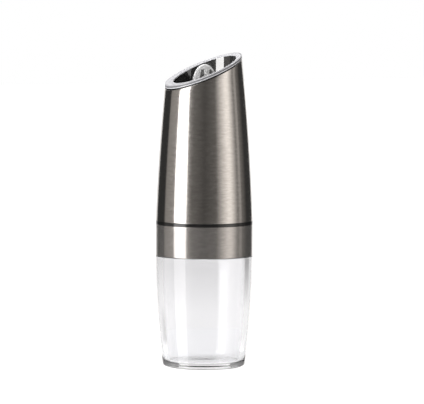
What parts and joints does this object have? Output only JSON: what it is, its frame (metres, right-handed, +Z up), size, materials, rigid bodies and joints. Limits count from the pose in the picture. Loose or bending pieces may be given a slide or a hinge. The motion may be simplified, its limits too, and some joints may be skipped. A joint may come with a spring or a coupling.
{
  "type": "electric pepper mill",
  "caption": "Slim upright electric pepper mill with a clear screw-on jar, brushed steel collar and shell, slanted chrome mouth, ceramic burrs and a turning knob for the grind.",
  "frame": {"origin": "centre of the jar's underside, on the surface that the mill stands on", "axes": "+Z up along the mill's axis, -Y towards the low side of the slanted mouth, +X to the right of that"},
  "size_m": [0.062, 0.062, 0.2],
  "materials": {
    "steel_shell": "brushed around the axis",
    "chrome_rim": "mirror chrome",
    "clear_jar": "clear acrylic, polished",
    "black_plastic": "fine moulded texture",
    "white_plastic": "satin, moulded",
    "seal_rubber": "translucent silicone",
    "ceramic_burr": "unglazed white ceramic",
    "knob_plastic": "translucent, satin",
    "gear_nylon": "natural nylon",
    "brass_parts": "turned or stamped brass and bronze",
    "steel_parts": "bright plated steel",
    "motor_iron": "dark magnet",
    "motor_core": "laminated core with copper windings",
    "cell_wrap": "plain foil wrap",
    "board_green": "lacquered board",
    "led_clear": "clear epoxy",
    "wire_red": "insulated wire"
  },
  "bodies": {
    "jar": {"jar": "clear_jar"},
    "seal": {"jar_gasket": "seal_rubber"},
    "head": {"collar_sleeve": "steel_shell", "adapter_ring": "white_plastic", "base_screws": "steel_parts", "chassis": "black_plastic", "battery_cells": "cell_wrap", "lower_contacts": "brass_parts", "upper_contacts": "brass_parts", "control_board": "board_green", "tilt_switch": "steel_parts", "motor_can": "steel_parts", "motor_endcap": "gear_nylon", "motor_magnets": "motor_iron", "motor_screws": "steel_parts", "motor_leads": "wire_red", "gear_pin": "steel_parts", "gearbox_cover": "black_plastic", "gearbox_screws": "steel_parts", "spindle_bush": "brass_parts", "grinder_housing": "black_plastic", "burr_holder": "black_plastic", "tie_screws": "steel_parts", "burr_ring": "ceramic_burr", "led": "led_clear", "led_leads": "wire_red"},
    "cover": {"shell": "steel_shell", "shell_liner": "black_plastic", "bezel": "chrome_rim"},
    "ball": {"tilt_ball": "brass_parts"},
    "rotor": {"motor_armature": "motor_core", "motor_shaft": "steel_parts", "motor_pinion": "brass_parts"},
    "first_gear": {"first_gear": "gear_nylon"},
    "second_gear": {"second_gear": "gear_nylon"},
    "third_gear": {"third_gear": "gear_nylon"},
    "spindle": {"spindle": "steel_parts", "spindle_clip": "steel_parts", "output_gear": "gear_nylon", "burr_spring": "steel_parts"},
    "cone": {"burr_cone": "ceramic_burr"},
    "knob": {"adjusting_knob": "knob_plastic"}
  },
  "joints": [
    {"name": "head_lift", "type": "slide", "parent": "jar", "child": "seal", "axis": [0, 0, 1], "range_m": [0, 0.012]},
    {"name": "head_turn", "type": "hinge", "parent": "seal", "child": "head", "pos_m": [0, 0, 0.0715], "axis": [0, 0, 1], "range_deg": [0, 540]},
    {"name": "cover_lift", "type": "slide", "parent": "head", "child": "cover", "axis": [0, 0, 1], "range_m": [0, 0.105]},
    {"name": "tilt_roll", "type": "slide", "parent": "head", "child": "ball", "axis": [0, 0, 1], "range_m": [0, 0.0043]},
    {"name": "motor_spin", "type": "hinge", "parent": "head", "child": "rotor", "pos_m": [0, 0, 0.125], "axis": [0, 0, 1], "continuous": true},
    {"name": "first_gear_spin", "type": "hinge", "parent": "head", "child": "first_gear", "pos_m": [0.01, 0, 0.1485], "axis": [0, 0, 1], "continuous": true},
    {"name": "second_gear_spin", "type": "hinge", "parent": "head", "child": "second_gear", "pos_m": [0, 0, 0.151], "axis": [0, 0, 1], "continuous": true},
    {"name": "third_gear_spin", "type": "hinge", "parent": "head", "child": "third_gear", "pos_m": [0.01, 0, 0.1537], "axis": [0, 0, 1], "continuous": true},
    {"name": "spindle_spin", "type": "hinge", "parent": "head", "child": "spindle", "pos_m": [0, 0, 0.165], "axis": [0, 0, 1], "continuous": true},
    {"name": "grind_gap", "type": "slide", "parent": "spindle", "child": "cone", "axis": [0, 0, 1], "range_m": [-0.0007, 0.0007], "deforming": ["burr_spring"]},
    {"name": "knob_turn", "type": "hinge", "parent": "cone", "child": "knob", "pos_m": [0, 0, 0.18], "axis": [0, 0, 1], "range_deg": [-360, 360]}
  ],
  "couplings": [
    {"joint": "head_turn", "follows": "head_lift", "rad_per_m": 785.39},
    {"joint": "first_gear_spin", "follows": "motor_spin", "ratio": -0.33333},
    {"joint": "second_gear_spin", "follows": "motor_spin", "ratio": 0.11111},
    {"joint": "third_gear_spin", "follows": "motor_spin", "ratio": -0.037037},
    {"joint": "spindle_spin", "follows": "motor_spin", "ratio": 0.012346},
    {"joint": "knob_turn", "follows": "grind_gap", "rad_per_m": 8975.9}
  ]
}
